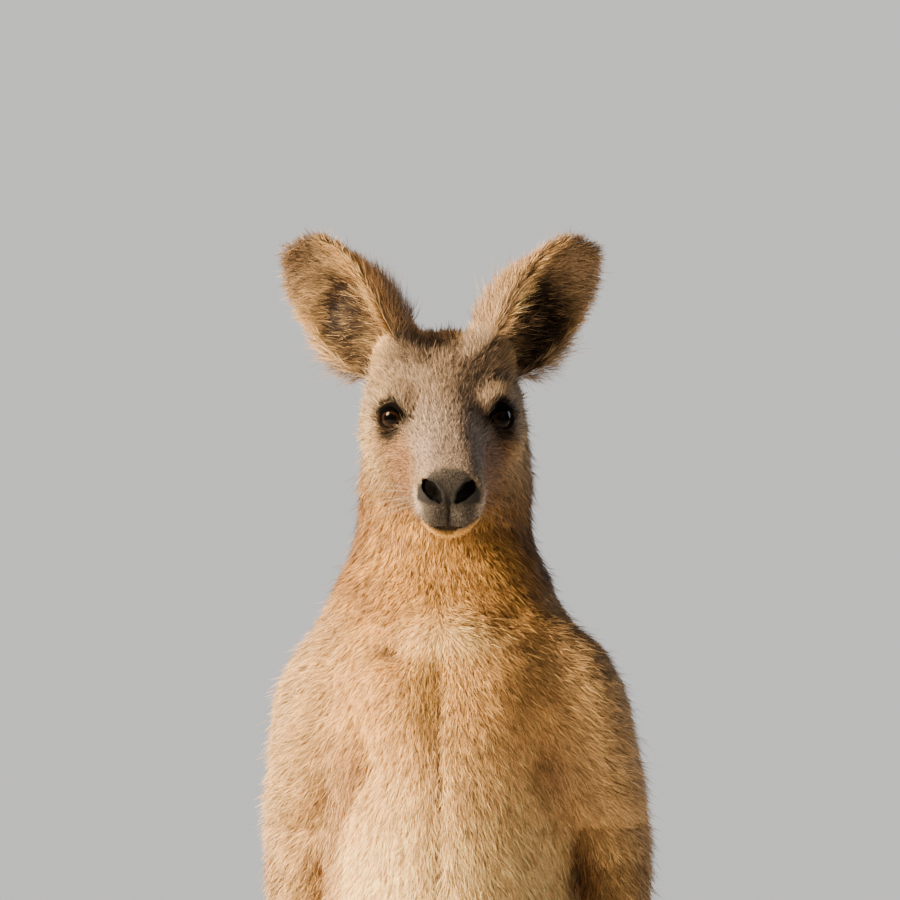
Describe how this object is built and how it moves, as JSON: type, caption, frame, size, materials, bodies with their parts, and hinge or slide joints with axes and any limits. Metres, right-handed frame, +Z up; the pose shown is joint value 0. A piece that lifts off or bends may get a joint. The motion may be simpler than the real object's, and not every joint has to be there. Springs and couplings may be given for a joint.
{
  "type": "kangaroo",
  "caption": "Life-size eastern grey kangaroo, a still museum-type model standing upright and alert on its hind feet and tail, arms hanging, ears pricked",
  "frame": {"origin": "On the floor, under the middle of the animal's box.", "axes": "+Z up; the animal faces -Y; its own left side is +X."},
  "size_m": [0.3724, 1.0832, 1.3556],
  "materials": {
    "coat_face": "grizzled taupe short fur",
    "coat_front": "tan and golden ochre soft fur",
    "coat_back": "grey-brown soft fur",
    "coat_dark": "near-black short fur",
    "nose_leather": "dark grey, finely haired",
    "eye": "dark brown, wet gloss",
    "claw": "black horn, semi-gloss"
  },
  "bodies": {
    "root": {"abdomen": "coat_front", "chest": "coat_front", "claw_inner_left_1": "claw", "claw_inner_left_2": "claw", "claw_inner_right_1": "claw", "claw_inner_right_2": "claw", "claw_large_left_1": "claw", "claw_large_right_1": "claw", "claw_outer_left_1": "claw", "claw_outer_right_1": "claw", "ear_left": "coat_front", "ear_right": "coat_front", "eye_left": "eye", "eye_right": "eye", "foot_left": "coat_dark", "foot_right": "coat_dark", "forearm_left": "coat_front", "forearm_right": "coat_front", "hand_claw_left_1": "claw", "hand_claw_left_2": "claw", "hand_claw_left_3": "claw", "hand_claw_left_4": "claw", "hand_claw_left_5": "claw", "hand_claw_right_1": "claw", "hand_claw_right_2": "claw", "hand_claw_right_3": "claw", "hand_claw_right_4": "claw", "hand_claw_right_5": "claw", "hand_left": "coat_dark", "hand_right": "coat_dark", "head": "coat_face", "neck": "coat_back", "nose": "nose_leather", "shank_left": "coat_back", "shank_right": "coat_back", "tail_base": "coat_back", "tail_middle": "coat_back", "tail_tip": "coat_dark", "thigh_left": "coat_back", "thigh_right": "coat_back", "toe_inner_left": "coat_dark", "toe_inner_right": "coat_dark", "toe_large_left": "coat_dark", "toe_large_right": "coat_dark", "toe_outer_left": "coat_dark", "toe_outer_right": "coat_dark", "upper_arm_left": "coat_front", "upper_arm_right": "coat_front"}
  },
  "joints": []
}
